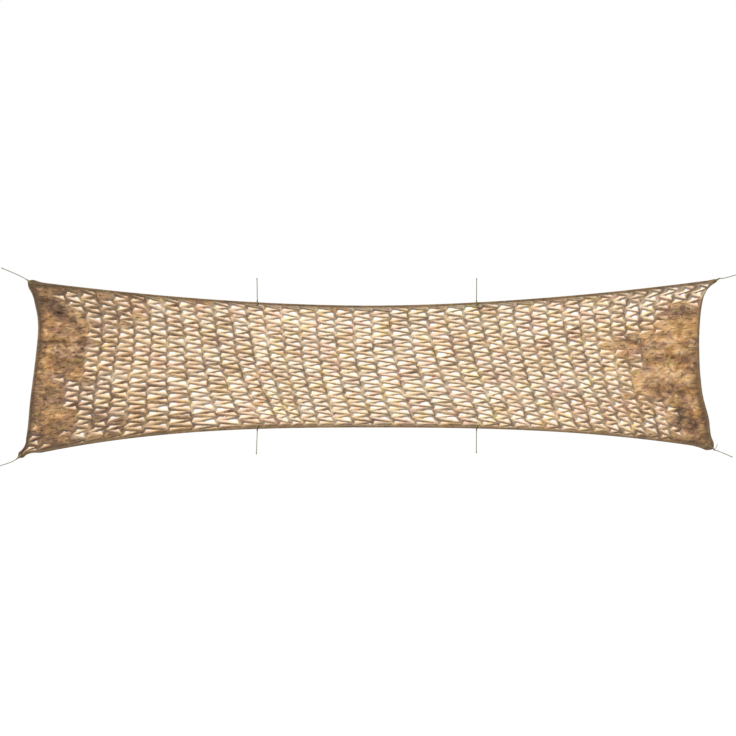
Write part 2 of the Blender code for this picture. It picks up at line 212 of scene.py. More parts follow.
laid_cord, given, cord_inputs = new_group("laid_cord", {
    "Path": "Geometry", "Diameter": CORD_DIAMETER, "Lay": CORD_LAY, "Strand depth": STRAND_DEPTH,
    "Section spacing": SECTION_SPACING, "Finish": "Material"})
lay_node = partial(add_node, laid_cord)
lay_maths = partial(add_maths, laid_cord)
even_path = lay_node("GeometryNodeResampleCurve", {
    "Curve": given["Path"], "Length": given["Section spacing"]}, mode="LENGTH")
path_length = lay_node("GeometryNodeSplineParameter").outputs["Length"]
turned_path = lay_node("GeometryNodeSetCurveTilt", {
    "Curve": even_path,
    "Tilt": lay_maths("MULTIPLY", lay_maths("DIVIDE", path_length, given["Lay"]), math.tau)})
section = lay_node("GeometryNodeCurvePrimitiveCircle", {
    "Resolution": SECTION_POINTS, "Radius": lay_maths("DIVIDE", given["Diameter"], 2.0)})
section_place = lay_node("GeometryNodeInputPosition")
section_axes = lay_node("ShaderNodeSeparateXYZ", {"Vector": section_place}).outputs
around = lay_maths("ARCTAN2", section_axes["Y"], section_axes["X"])
lobes = lay_maths("COSINE", lay_maths("MULTIPLY", around, STRANDS))
lobe_offset = lay_node("ShaderNodeVectorMath", {
    0: section_place, "Scale": lay_maths("MULTIPLY", lobes, given["Strand depth"])}, operation="SCALE")
lobed = lay_node("GeometryNodeSetPosition", {"Geometry": section, "Offset": lobe_offset})
swept = lay_node("GeometryNodeCurveToMesh", {
    "Curve": turned_path, "Profile Curve": lobed, "Fill Caps": True})
end_group(laid_cord, "Cord", swept, given["Finish"])


def lay_guide(name, lines, closed=False):
    """An object with one curve along each of these lines of points."""
    curve = bpy.data.curves.new(name, "CURVE")
    curve.dimensions = "3D"
    for line in lines:
        spline = curve.splines.new("POLY")
        spline.points.add(len(line) - 1)
        for target, point in zip(spline.points, line):
            target.co = (*point, 1.0)
        spline.use_cyclic_u = closed
    return add_object(name, curve)


def take_mesh(name, guide):
    """The mesh that an object's modifiers make of it; the object itself goes."""
    bpy.context.view_layer.update()
    graph = bpy.context.evaluated_depsgraph_get()
    mesh = bpy.data.meshes.new_from_object(
        guide.evaluated_get(graph), preserve_all_data_layers=True, depsgraph=graph)
    mesh.name = name
    bpy.data.batch_remove((guide, guide.data))
    return mesh


def lay_cord(name, lines, diameter=CORD_DIAMETER):
    """One mesh of laid cord along each of these lines of points."""
    guide = lay_guide(name, lines)
    modifier = guide.modifiers.new("laid_cord", "NODES")
    modifier.node_group = laid_cord
    modifier[cord_inputs["Diameter"]] = diameter
    modifier[cord_inputs["Lay"]] = CORD_LAY * diameter / CORD_DIAMETER
    modifier[cord_inputs["Finish"]] = cord_finish
    mesh = take_mesh(name, guide)
    form = bmesh.new()
    form.from_mesh(mesh)
    bmesh.ops.remove_doubles(form, verts=form.verts, dist=SAME_POINT)
    bmesh.ops.recalc_face_normals(form, faces=form.faces)
    form.to_mesh(mesh)
    form.free()
    return add_object(name, mesh)


def value_along(table, place):
    """The value at this place on a smooth curve through rows of (place, value)."""
    places = [row[0] for row in table]
    first = min(max(bisect_right(places, place) - 1, 0), len(table) - 2)

    def slope(row):
        before, after = table[max(row - 1, 0)], table[min(row + 1, len(table) - 1)]
        return (after[1] - before[1]) / (after[0] - before[0])

    width = places[first + 1] - places[first]
    share = min(max((place - places[first]) / width, 0.0), 1.0)
    start, end = table[first][1], table[first + 1][1]
    rise = share * share * (3 - 2 * share)
    lead_out = share * (1 - share) ** 2 * width * slope(first)
    lead_in = share * share * (1 - share) * width * slope(first + 1)
    return start + (end - start) * rise + lead_out - lead_in


def smooth_route(route, spacing=0.004):
    """Points along a smooth curve through these ones."""
    lengths = [0.0]
    for before, after in zip(route, route[1:]):
        lengths.append(lengths[-1] + math.dist(before, after))
    tables = [[(length, point[axis]) for length, point in zip(lengths, route)] for axis in range(3)]
    steps = max(round(lengths[-1] / spacing), 1)
    return [tuple(value_along(table, lengths[-1] * step / steps) for table in tables)
            for step in range(steps + 1)]


# How far the turns of a tie reach into the cloth.
CORNER_GRIP = 0.044
EDGE_GRIP = 0.0265
# Each tie: where it holds the hem, the way out from the cloth there, and the places that its free
# cord runs through, to its end.
TIES = {
    "top_left": ((-3.0, 0.0035, 0.22), (-0.7661, -0.0002, 0.6427),
                 ((-3.069, 0.0035, 0.261), (-3.15, 0.0035, 0.297), (-3.224, 0.0035, 0.328))),
    "top_right": ((3.09, 0.0009, 0.234), (0.9003, 0.0121, 0.4352),
                  ((3.131, 0.0009, 0.24), (3.19, 0.0009, 0.254), (3.262, 0.0009, 0.275))),
    "bottom_left": ((-3.087, 0.0032, -1.343), (-0.7554, -0.0037, -0.6552),
                    ((-3.13, 0.0032, -1.372), (-3.19, 0.0032, -1.396), (-3.262, 0.0032, -1.416))),
    "bottom_right": ((3.047, 0.0003, -1.265), (0.7506, 0.0103, -0.6607),
                     ((3.1, 0.0003, -1.288), (3.155, 0.0003, -1.311), (3.205, 0.0003, -1.333))),
    "top_mid_left": ((-0.977, -0.0001, 0.0295), (0.0583, 0.0, 0.9982), ((-0.979, -0.0001, 0.232),)),
    "top_mid_right": ((0.957, -0.0031, 0.0287), (-0.0483, 0.0, 0.9988), ((0.958, -0.0031, 0.23),)),
    "bottom_mid_left": ((-0.977, -0.0002, -1.0892), (0.0437, 0.0, -0.999), ((-0.984, -0.0002, -1.3),)),
    "bottom_mid_right": ((0.957, -0.003, -1.0851), (-0.019, 0.0, -0.9998), ((0.955, -0.003, -1.292),)),
}

# ---------------------------------------------------------------- Hitches and knots
# Each tie is passed twice round the hem and through the cloth behind it, and drawn up in
# an overhand knot outside. Another small overhand knot keeps its free end from fraying.

KNOT_STEPS = 96
KNOT_FLATTENED = 0.92
KNOT_BULK = 1.35
TURN_STEPS = 150
TURN_START = 0.0045
TURN_HALF_GAP = 0.008
TURN_SEAT = -0.0033
# Between these places of its two turns the cord crosses over to lie beside itself.
TURN_CROSSING = (0.75, 1.25)
HITCH_KNOT_CENTRE = 0.0112
HITCH_KNOT_RADIUS = 0.01
HITCH_KNOT_CORD = 0.0052
END_KNOT_RADIUS = 0.0085
END_KNOT_CORD = 0.0044
# How far out from a knot's middle the free cord begins and ends, in shares of the knot's radius.
INTO_KNOT = 0.45
# The cut end of the cord that is left over at one corner's hitch.
CUT_END = ((3.056, -0.004, -1.266), (3.068, -0.006, -1.25), (3.077, -0.004, -1.235),
           (3.08, 0.0, -1.221))


def smooth_step(low, high, value):
    """0 up to the low value, 1 from the high one on, and smoothly between them."""
    share = np.clip((value - low) / (high - low), 0.0, 1.0)
    return share * share * (3 - 2 * share)


def knot_line(axes, centre, radius, diameter):
    """The line of a tight overhand knot: a closed three-lobed path, crossing over and under itself."""
    size = (radius - diameter / 2) / 3
    points = []
    for step in range(KNOT_STEPS + 1):
        turn = math.tau * step / KNOT_STEPS
        reach = (2 + math.cos(3 * turn)) * size
        points.append(tuple(axes @ Vector((
            centre + reach * math.cos(2 * turn), reach * math.sin(2 * turn) * KNOT_FLATTENED,
            KNOT_BULK * size * math.sin(3 * turn)))))
    return points


def turns_line(axes, reach):
    """The line of two turns round the hem, side by side, that start and end at the knot."""
    far = TURN_START - reach
    flat = TURN_SEAT - far
    quarter = math.pi / 2 * TURN_HALF_GAP
    loop = 2 * flat + 4 * quarter
    points = []
    for step in range(TURN_STEPS + 1):
        turn = 2 * step / TURN_STEPS
        run = (turn % 1.0) * loop if step < TURN_STEPS else loop
        from_knot = min(run, loop - run)
        if from_knot < quarter:
            angle = from_knot / TURN_HALF_GAP
            x, y = TURN_SEAT + TURN_HALF_GAP * math.cos(angle), TURN_HALF_GAP * math.sin(angle)
        elif from_knot < quarter + flat:
            x, y = TURN_SEAT + quarter - from_knot, TURN_HALF_GAP
        else:
            angle = (from_knot - quarter - flat) / TURN_HALF_GAP
            x, y = far - TURN_HALF_GAP * math.sin(angle), TURN_HALF_GAP * math.cos(angle)
        if run < loop / 2:
            y = -y
        along = CORD_DIAMETER * (float(smooth_step(*TURN_CROSSING, turn)) - 0.5)
        points.append(tuple(axes @ Vector((x, y, along))))
    return points


def axes_at(anchor, outward):
    """Matrix whose X points outwards along the cloth, and Y through it."""
    across = outward.cross(Vector((0.0, 1.0, 0.0))).normalized()
    axes = Matrix((outward, across.cross(outward), across)).transposed()
    return Matrix.Translation(anchor) @ axes.to_4x4()


for place, (anchor, outward, route) in TIES.items():
    grip = EDGE_GRIP if "mid" in place else CORNER_GRIP
    anchor, outward = Vector(anchor), Vector(outward).normalized()
    hem_axes = axes_at(anchor, outward)
    hitch = lay_cord("hitch_" + place, [turns_line(hem_axes, grip)])
    knot_lines = [knot_line(hem_axes, HITCH_KNOT_CENTRE, HITCH_KNOT_RADIUS, HITCH_KNOT_CORD)]
    if place == "bottom_right":
        knot_lines.append(smooth_route(CUT_END))
    hitch_knot = lay_cord("hitch_knot_" + place, knot_lines, diameter=HITCH_KNOT_CORD)
    knot_centre = anchor + outward * HITCH_KNOT_CENTRE
    run_from = (Vector(route[0]) - knot_centre).normalized()
    line = smooth_route((tuple(knot_centre + run_from * HITCH_KNOT_RADIUS * INTO_KNOT), *route))
    cord = lay_cord("cord_" + place, [line])
    run_out = (Vector(line[-1]) - Vector(line[-2])).normalized()
    end_axes = axes_at(Vector(line[-1]) + run_out * END_KNOT_RADIUS * INTO_KNOT, run_out)
    end_knot = lay_cord("end_knot_" + place, [knot_line(end_axes, 0.0, END_KNOT_RADIUS, END_KNOT_CORD)],
                        diameter=END_KNOT_CORD)
    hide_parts("tie_hitch_" + place)
    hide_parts("tie_cord_" + place)
    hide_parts("tie_knot_" + place)
    for piece in (hitch, hitch_knot, cord, end_knot):
        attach(piece, "root")
    length = sum(math.dist(before, after) for before, after in zip(line, line[1:]))

# ---------------------------------------------------------------- Net cloth
# One long piece of light printed polyester. Staggered rows of slits are cut across it, and
# pulled lengthwise and upright it opens into rows of leaf-shaped holes between twisted
# strands. Where nothing pulls the ends up, the slits stay shut and the cloth bunches.

TOP_LEFT = Vector((-3.0, 0.22))
TOP_RIGHT = Vector((3.09, 0.234))
BOTTOM_LEFT = Vector((-3.087, -1.343))
BOTTOM_RIGHT = Vector((3.047, -1.265))
# The long edges: their corners, height in the middle, and how sharply they bow out to the corners.
TOP_EDGE = (TOP_LEFT, TOP_RIGHT, 0.0, 1.8)
BOTTOM_EDGE = (BOTTOM_LEFT, BOTTOM_RIGHT, -1.076, 2.65)
# Each end bows in from the line between its corners: (share of the way down, bow).
LEFT_END_BOW = (
    (0.0, 0.0), (0.04, 0.022), (0.11, 0.063), (0.24, 0.11), (0.41, 0.107), (0.68, 0.078), (0.89, 0.061),
    (0.95, 0.022), (1.0, 0.0),
)
RIGHT_END_BOW = (
    (0.0, 0.0), (0.05, 0.081), (0.12, 0.131), (0.3, 0.154), (0.48, 0.146), (0.58, 0.132), (0.69, 0.106),
    (0.83, 0.046), (0.94, 0.029), (1.0, 0.0),
)
END_BOW_FADE = 3

STRIPS = 40
ROWS = 16
# (strip, share of the net's length), so that strips are widest in the stretched middle.
STRIP_PLACES = ((0.0, 0.0), (13.7, 0.3322), (25.7, 0.6498), (40.0, 1.0))
# (strip, how many strips the slit line has drifted to the right at the bottom edge).
STRIP_DRIFT = (
    (0.0, 0.0), (6.0, 0.1), (11.7, 2.44), (16.0, 1.5), (20.0, 1.5), (23.7, 2.38), (28.0, 2.1),
    (32.0, 1.9), (37.0, 0.7), (40.0, 0.0),
)
# How the drift grows on the way down, left and right, and where that changes.
DRIFT_POWERS = (1.8, 1.0)
DRIFT_POWER_CHANGE = (0.45, 0.65)


def edge_height(x, left, right, middle, power):
    """Height of a long edge of the net at these places along it."""
    corner_x, corner_z = np.where(x > 0, right.x, left.x), np.where(x > 0, right.y, left.y)
    return middle + (corner_z - middle) * (x / corner_x) ** power


def edge_point(share, left, right, middle, power):
    """Outer edge of a long hem, from its left corner (0) to its right one (1)."""
    x = left.x + (right.x - left.x) * share
    return Vector((x, edge_height(x, left, right, middle, power)))


# The hem: the edge is turned over twice and sewn, so it is a thick round-backed band. It is wider
# towards the ends, and where the corner ties gather it up.
HEM_WIDTH = 0.018
HEM_THICKNESS = 0.008
END_HEM_EXTRA = 0.006
END_HEM_FROM = (2.6, 2.95)
# Each corner, drawn up by its tie: its place; the hem's extra width, and how far that reaches; the
# cloth's shade, its share of the hem's tone, and how far that reaches; and how wide the cloth is
# beside plain cloth, at distances from the tip.
CORNERS = {
    "top_left": (TOP_LEFT, (0.013, 0.13), (0.3, 1.1, 0.09),
                 ((0.0, 2.2), (0.03, 1.7), (0.07, 1.15), (0.12, 1.0), (0.2, 1.0))),
    "top_right": (TOP_RIGHT, (0.006, 0.09), (0.05, 0.6, 0.06),
                  ((0.0, 1.6), (0.03, 1.3), (0.08, 1.0), (0.12, 1.0), (0.2, 1.0))),
    "bottom_left": (BOTTOM_LEFT, (0.014, 0.14), (0.2, 1.15, 0.1),
                    ((0.0, 2.2), (0.03, 1.6), (0.06, 0.85), (0.1, 0.7), (0.18, 1.0))),
    "bottom_right": (BOTTOM_RIGHT, (0.015, 0.11), (0.2, 1.18, 0.12),
                     ((0.0, 2.8), (0.03, 2.1), (0.07, 1.4), (0.11, 1.1), (0.18, 1.0))),
}


def closeness(x, z, spot_x, spot_z, reach_x, reach_z):
    """How close places are to a spot: 1 in it, and less all round."""
    return np.exp(-((x - spot_x) / reach_x) ** 2 - ((z - spot_z) / reach_z) ** 2)


def hem_width(x, z):
    """Width of the hem at a place."""
    gathered = sum(extra * closeness(x, z, *corner, reach, reach)
                   for corner, (extra, reach), *_ in CORNERS.values())
    return HEM_WIDTH + END_HEM_EXTRA * float(smooth_step(*END_HEM_FROM, abs(x))) + gathered


def cloth_point(strip, row, hem=1.0):
    """Where a place of the lattice lies; without a hem the lattice fills the whole cloth."""
    down = row / ROWS
    left, right = DRIFT_POWERS
    power = left + (right - left) * smooth_step(*DRIFT_POWER_CHANGE, strip / STRIPS)
    drifted = strip + value_along(STRIP_DRIFT, strip) * down ** power
    share = value_along(STRIP_PLACES, drifted)
    top, bottom = edge_point(share, *TOP_EDGE), edge_point(share, *BOTTOM_EDGE)
    top.y -= hem * hem_width(top.x, top.y)
    bottom.y += hem * hem_width(bottom.x, bottom.y)
    point = top.lerp(bottom, down)
    width = hem * hem_width(point.x, point.y)
    point.x += (value_along(LEFT_END_BOW, down) + width) * (1 - share) ** END_BOW_FADE
    point.x -= (value_along(RIGHT_END_BOW, down) + width) * share ** END_BOW_FADE
    return Vector((point.x, 0.0, point.y))


# The lattice: a grid of half rows, each cell split by a diagonal, alternately up and down, with
# the level edges taken out again. Each tile that is left holds one slit.
LATTICE_WANDER = (0.009, 0.005)
rng = random.Random(11)
net = bmesh.new()
hem_weight = net.verts.layers.deform.new("hem")
# This vertex value paints shade on the cloth where it is above 0, and paints highlights where it is below
# 0.
shade_layer = net.verts.layers.float.new("painted_shade_and_highlight")
border_layer = net.verts.layers.float.new("border")
lift_layer = net.verts.layers.float.new("lift")
bunch_layer = net.verts.layers.float.new("bunched")
print_layer = net.loops.layers.uv.new("print")
bmesh.ops.create_grid(net, x_segments=STRIPS, y_segments=2 * ROWS, size=0.5)
station = {vert: (round((vert.co.x + 0.5) * STRIPS), round((0.5 - vert.co.y) * 2 * ROWS))
           for vert in net.verts}
for face in net.faces[:]:
    corner = {station[vert]: vert for vert in face.verts}
    strip, half_row = min(corner)
    ends = ((strip, half_row), (strip + 1, half_row + 1)) if half_row % 2 == 0 else \
        ((strip + 1, half_row), (strip, half_row + 1))
    bmesh.utils.face_split(face, corner[ends[0]], corner[ends[1]])
level = [edge for edge in net.edges if not edge.is_boundary
         and station[edge.verts[0]][1] == station[edge.verts[1]][1]]
bmesh.ops.dissolve_edges(net, edges=level, use_verts=False)
for vert, (strip, half_row) in station.items():
    point = cloth_point(strip, half_row / 2)
    if not vert.is_boundary:
        point.x += LATTICE_WANDER[0] * rng.uniform(-1, 1)
        point.z += LATTICE_WANDER[1] * rng.uniform(-1, 1)
    vert.co = point

# Each side of a tile is divided, so that its hole can be round.
UPRIGHT_PARTS = 2
SLANTED_PARTS = 5
# The outline bends more near the corners, and is divided more finely there.
CORNER_REACH = 0.16
CORNER_PARTS = 7
on_slit_line = set(station)
lattice_place = {vert: Vector((strip, half_row / 2)) for vert, (strip, half_row) in station.items()}
for edge in net.edges[:]:
    near, far = edge.verts
    upright = station[near][0] == station[far][0]
    parts = UPRIGHT_PARTS if upright else SLANTED_PARTS
    if edge.is_boundary:
        middle = (near.co + far.co) / 2
        if any(math.hypot(middle.x - tip.x, middle.z - tip.y) < CORNER_REACH
               for tip, *_ in CORNERS.values()):
            parts = CORNER_PARTS * (1 if upright else 2)
    for left in range(parts, 1, -1):
        before = near
        near = bmesh.utils.edge_split(edge, near, 1 / left)[1]
        lattice_place[near] = lattice_place[before].lerp(lattice_place[far], 1 / left)
        edge = next(link for link in near.link_edges if far in link.verts)
        if upright:
            on_slit_line.add(near)

# (share of the way from the lattice out to the edge, share of the hem's thickness).
HEM_BANDS = ((0.22, 0.8), (0.5, 1.0), (0.8, 0.85), (1.0, 0.35))
# How much of the hem's tone its inner edge has.
INNER_EDGE_TONE = 0.55
# The very tips of the corners are left as they are.
TIP = 0.0005
tiles = net.faces[:]
hem_places = {}
for vert in net.verts:
    if vert.is_boundary:
        vert.co = cloth_point(*lattice_place[vert])
        vert[border_layer] = INNER_EDGE_TONE
        hem_places[vert] = (cloth_point(*lattice_place[vert], hem=0.0), vert.co.copy())
seam_line = []
for share, thickness in HEM_BANDS:
    rim = [edge for edge in net.edges if edge.is_boundary]
    made = bmesh.ops.extrude_edge_only(net, edges=rim)["geom"]
    fresh = dict.fromkeys(item for item in made if isinstance(item, bmesh.types.BMVert))
    for vert in fresh:
        source = next(other for other in (edge.other_vert(vert) for edge in vert.link_edges)
                      if other not in fresh)
        outer, inner = hem_places[vert] = hem_places[source]
        vert.co = outer.lerp(inner, 1 - share)
        vert[bunch_layer] = 1.0
        vert[hem_weight][0] = thickness
        vert[border_layer] = 1.0
    if not seam_line:
        seam_line.append(next(iter(fresh)))
        while len(seam_line) < len(fresh):
            beside = (edge.other_vert(seam_line[-1]) for edge in seam_line[-1].link_edges)
            seam_line.append(next(vert for vert in beside if vert in fresh and vert not in seam_line[-2:]))

# Cloth bunched together, its slits shut: ellipses (x, z, half length, half height).
CLOSED_PATCHES = (
    (-2.7, -0.375, 0.2, 0.18), (-2.86, -0.587, 0.09, 0.62), (-2.8, -0.966, 0.12, 0.2),
    (-2.805, -0.093, 0.12, 0.13), (2.7, -0.348, 0.24, 0.1), (2.78, -0.093, 0.16, 0.14),
    (2.708, -0.613, 0.27, 0.2), (2.875, -0.966, 0.12, 0.2),
)
# The slits open up across the edge of a patch, which wanders: (metres, waves a metre along x and z).
PATCH_HALO = (-0.02, 0.2)
HALO_WANDER = (0.07, 4.1, 5.3)
# How far the slits are pulled open along the net: (x, share).
OPEN_ALONG = (
    (-3.1, 0.18), (-2.6, 0.18), (-2.2, 0.24), (-1.7, 0.35), (-1.2, 0.4), (-0.7, 0.46), (0.0, 0.5),
    (1.0, 0.49), (1.55, 0.45), (2.0, 0.4), (2.6, 0.26), (3.1, 0.22),
)
# Places where they are pulled wider, or below 0 held narrower: (x, z, reach along x and z, extra share).
OPEN_SPOTS = (
    (2.8, 0.12, 0.34, 0.1, 0.5), (-2.95, -1.25, 0.13, 0.08, 0.36), (-2.84, 0.06, 0.1, 0.05, 0.08),
    (2.64, -0.92, 0.14, 0.12, 0.12), (-2.1, -0.62, 0.13, 0.11, 0.28), (-1.17, -0.07, 0.12, 0.09, 0.16),
    (-2.4, -0.45, 0.1, 0.2, 0.18), (-2.58, -1.12, 0.14, 0.06, 0.28), (2.4, -0.06, 0.25, 0.14, 0.2),
    (2.22, -1.1, 0.12, 0.06, 0.2), (-2.64, -0.82, 0.13, 0.16, 0.2), (-2.62, 0.02, 0.12, 0.12, 0.1),
    (2.13, -0.37, 0.07, 0.15, -0.14), (1.05, -0.42, 0.2, 0.1, -0.1),
)
# A hole from the pointed end of its slit to the round one: (share of its length, of its height).
LEAF_SIDE = (
    (0.0, 0.0), (0.11, 0.28), (0.3, 0.56), (0.52, 0.79), (0.75, 0.93), (0.92, 0.84), (1.005, 0.46),
    (1.02, 0.0),
)
# The slits open unevenly: (share where they are shut, how much less where open, waves a metre).
UNEVEN = (0.55, 0.4, 5.3, 7.0)
WIDEST = 1.08
# How far along a tile from its tip its opening is read, and a leaning hole turns, in shares.
READ_AT = 0.62
LEAN_ABOUT = 0.72
# Differences by chance, where slits are open and how much more where they are shut: in their
# opening, in the shift of their holes (metres) and in their lean.
OPENING_CHANCE = (0.08, 0.8)
SHIFT_CHANCE = (0.001, 0.004)
LEAN_CHANCE = (0.05, 0.2)
# A hole starts between these shares of its tile, and grows in length and height as it opens.
HOLE_START = (0.42, 0.6)
HOLE_LENGTH = (0.35, 0.75)
HOLE_HEIGHT = 0.05
HOLE_HEIGHT_POWER = 1.2
LEAST_ROOM = 0.004
SIDE_STRAND = 0.0125
BASE_STRAND = 0.0112
SHUT_BELOW = 0.12
# The row of slits along the bottom hem is held narrower than the others.
BOTTOM_ROW_OPEN = 0.55
# (height towards the viewer, shade) across a strand and beside a slit line: in its middle, halfway
# and at the hole's lip. A shade is painted shade in the folds' troughs, and below 0 a painted highlight on
# their crests.
STRAND_TOP = ((0.005, 0.52), (0.0045, -0.55), (-0.003, -0.65))
STRAND_UNDERSIDE = ((0.005, 0.52), (0.0008, 0.72), (-0.008, 0.02))
SLIT_LINE = ((-0.0014, 1.0), (0.0014, 0.62), (-0.0008, 0.0))
SHUT_UPPER_LIP = ((0.001, -0.02), (0.002, -0.12), (0.0026, -0.1))
SHUT_LOWER_LIP = ((0.001, -0.02), (0.0, 0.1), (-0.0026, 0.5))
# How far a shut slit's lips lie over each other.
LIP_OVERLAP = 0.0018
# A flat strand's heights are this share of an open one's.
FLAT_RELIEF = 0.5
# How deep shut lips lie by chance, how much deeper as they open, and below what height they taper.
LIP_DEPTH = (0.35, 0.9)
LIP_DEEPER = 3.0
LIP_TAPER = 0.5
# Heights vary: (share, waves a metre).
HEIGHT_NOISE = (0.5, 9.0)
# How strong the shade on the net's lines is where slits are shut and open, and how it varies along
# the slit lines: (mean, difference, waves a metre, least).
LINE_STRENGTH = (0.35, 0.8, 0.2)
LINE_NOISE = (0.85, 1.8, 14.0, 0.05)


def patch_gap(x, z):
    """Roughly how far a place lies outside the nearest closed patch."""
    return min((math.hypot((x - patch[0]) / patch[2], (z - patch[1]) / patch[3]) - 1) * min(patch[2:])
               for patch in CLOSED_PATCHES)


def openness(x, z):
    """How far the slits are pulled open at a place: 0 shut, 1 open."""
    wander = HALO_WANDER[0] * noise.noise(Vector((x * HALO_WANDER[1], 0.0, z * HALO_WANDER[2])))
    usual = value_along(OPEN_ALONG, x)
    uneven = 1 + (UNEVEN[0] - UNEVEN[1] * usual) * noise.noise(Vector((x * UNEVEN[2], 7.0, z * UNEVEN[3])))
    share = smooth_step(*PATCH_HALO, patch_gap(x, z) + wander) * usual * uneven
    share += sum(extra * closeness(x, z, *spot) for *spot, extra in OPEN_SPOTS)
    return float(min(max(share, 0.0), WIDEST))


for tile in tiles:
    round_it = [loop.vert for loop in tile.loops]
    corners = [vert for vert in round_it if vert in station]
    columns = [station[vert][0] for vert in corners]
    tip = next(vert for vert, column in zip(corners, columns) if columns.count(column) == 1)
    start = round_it.index(tip)
    round_it = round_it[start:] + round_it[:start]
    count = len(round_it)
    base = [number for number, vert in enumerate(round_it) if vert in station and vert is not tip]
    first, last = base[0], base[-1]
    half_base = (round_it[last].co - round_it[first].co) / 2
    axis = (round_it[first].co + round_it[last].co) / 2 - tip.co
    length = axis.length
    across = -half_base.normalized()
    centre = tip.co + axis * READ_AT
    usual = openness(centre.x, centre.z)
    loose = max(1 - usual, 0)

    def by_chance(chance):
        return chance[0] + chance[1] * loose

    open_share = max(usual * (1 + by_chance(OPENING_CHANCE) * rng.uniform(-1, 1)), 0.0)
    if max(lattice_place[vert].y for vert in round_it) >= ROWS:
        open_share *= BOTTOM_ROW_OPEN
    opened = min(open_share, 1.0)
    side_gap = SIDE_STRAND / math.cos(math.atan2(half_base.length, length))
    reach = min((vert.co - tip.co).dot(axis.normalized()) for vert in round_it[first:last + 1])
    hole_end = (reach - BASE_STRAND) / length
    hole_start = max(min(side_gap / half_base.length, HOLE_START[1]), HOLE_START[0])
    hole_start = hole_end - (hole_end - hole_start) * min(HOLE_LENGTH[0] + HOLE_LENGTH[1] * open_share, 1.0)
    shift = axis.normalized() * rng.uniform(-1.5, 0) + across * rng.uniform(-1, 1)
    shift *= by_chance(SHIFT_CHANCE)
    lean = by_chance(LEAN_CHANCE) * rng.uniform(-1, 1)
    lip_depth = rng.uniform(*LIP_DEPTH) + LIP_DEEPER * open_share
    room = half_base.length * hole_end - side_gap
    shut = open_share < SHUT_BELOW or room < LEAST_ROOM
    hole_height = -LIP_OVERLAP if shut else \
        room * (HOLE_HEIGHT + (1 - HOLE_HEIGHT) * open_share ** HOLE_HEIGHT_POWER)
    relief = FLAT_RELIEF + (1 - FLAT_RELIEF) * opened
    mid_verts, hole_verts = [], []
    for number, outside in enumerate(round_it):
        if number <= first:
            share, side = SLANTED_PARTS * number / first, 1.0
        elif number < last:
            run = (number - first) / (last - first)
            share = SLANTED_PARTS + 2.0 * (1 - abs(2 * run - 1))
            side = 1.0 if run < 0.5 else -1.0
        else:
            share, side = SLANTED_PARTS * (count - number) / (count - last), -1.0
        run, height = (np.interp(share, range(len(LEAF_SIDE)), column) for column in zip(*LEAF_SIDE))
        along = hole_start + (hole_end - hole_start) * run
        spot = tip.co + axis * along + shift
        spot += across * (side * height * hole_height + lean * length * (along - LEAN_ABOUT) * opened)
        above = (across * side).z > 0
        if shut:
            form = SHUT_UPPER_LIP if above else SHUT_LOWER_LIP
        elif first < number < last:
            form = SLIT_LINE
        else:
            form = STRAND_UNDERSIDE if above else STRAND_TOP
        uneven = 1 + HEIGHT_NOISE[0] * noise.noise(spot * HEIGHT_NOISE[1])
        if shut:
            uneven *= lip_depth * min(height / LIP_TAPER, 1.0)
        middle_vert, hole_vert = net.verts.new(outside.co.lerp(spot, 0.5)), net.verts.new(spot)
        marked = [(middle_vert, *form[1]), (hole_vert, *form[2])]
        if outside[border_layer] == 0.0:
            lift, shade = (SLIT_LINE if outside in on_slit_line else STRAND_TOP)[0]
            shade *= LINE_STRENGTH[0] if shut else LINE_STRENGTH[1] + LINE_STRENGTH[2] * opened
            if outside in on_slit_line:
                mean, difference, waves, least = LINE_NOISE
                shade *= max(mean + difference * noise.noise(outside.co * waves), least)
            marked.append((outside, lift, shade))
        for vert, lift, shade in marked:
            vert[lift_layer] = lift * relief * uneven
            vert[shade_layer] = shade * uneven
        for vert in (middle_vert, hole_vert, outside):
            vert[bunch_layer] = 1 - opened
        mid_verts.append(middle_vert)
        hole_verts.append(hole_vert)
    net.faces.remove(tile)
    for outer, inner in ((round_it, mid_verts), (mid_verts, hole_verts)):
        for number in range(count):
            net.faces.new((outer[number - 1], outer[number], inner[number], inner[number - 1]))

# Slack waves of the whole cloth: (depth, length along x, length along z, phase).
BILLOWS = ((0.022, 2.7, 2.1, 0.4), (0.013, 1.15, 0.9, 1.9), (0.007, 0.52, 1.4, 3.1))
# The hem itself wavers a little: (depth, length along x, phase).
HEM_WAVE = (0.0035, 1.6, 0.7)
FLAT_BORDER = 0.045
SLACK_BORDER = 0.26
# Beside the hem the strands lie flat: (none of their lift, all of it) inside the edge.
LIFT_FADE = (0.012, 0.04)
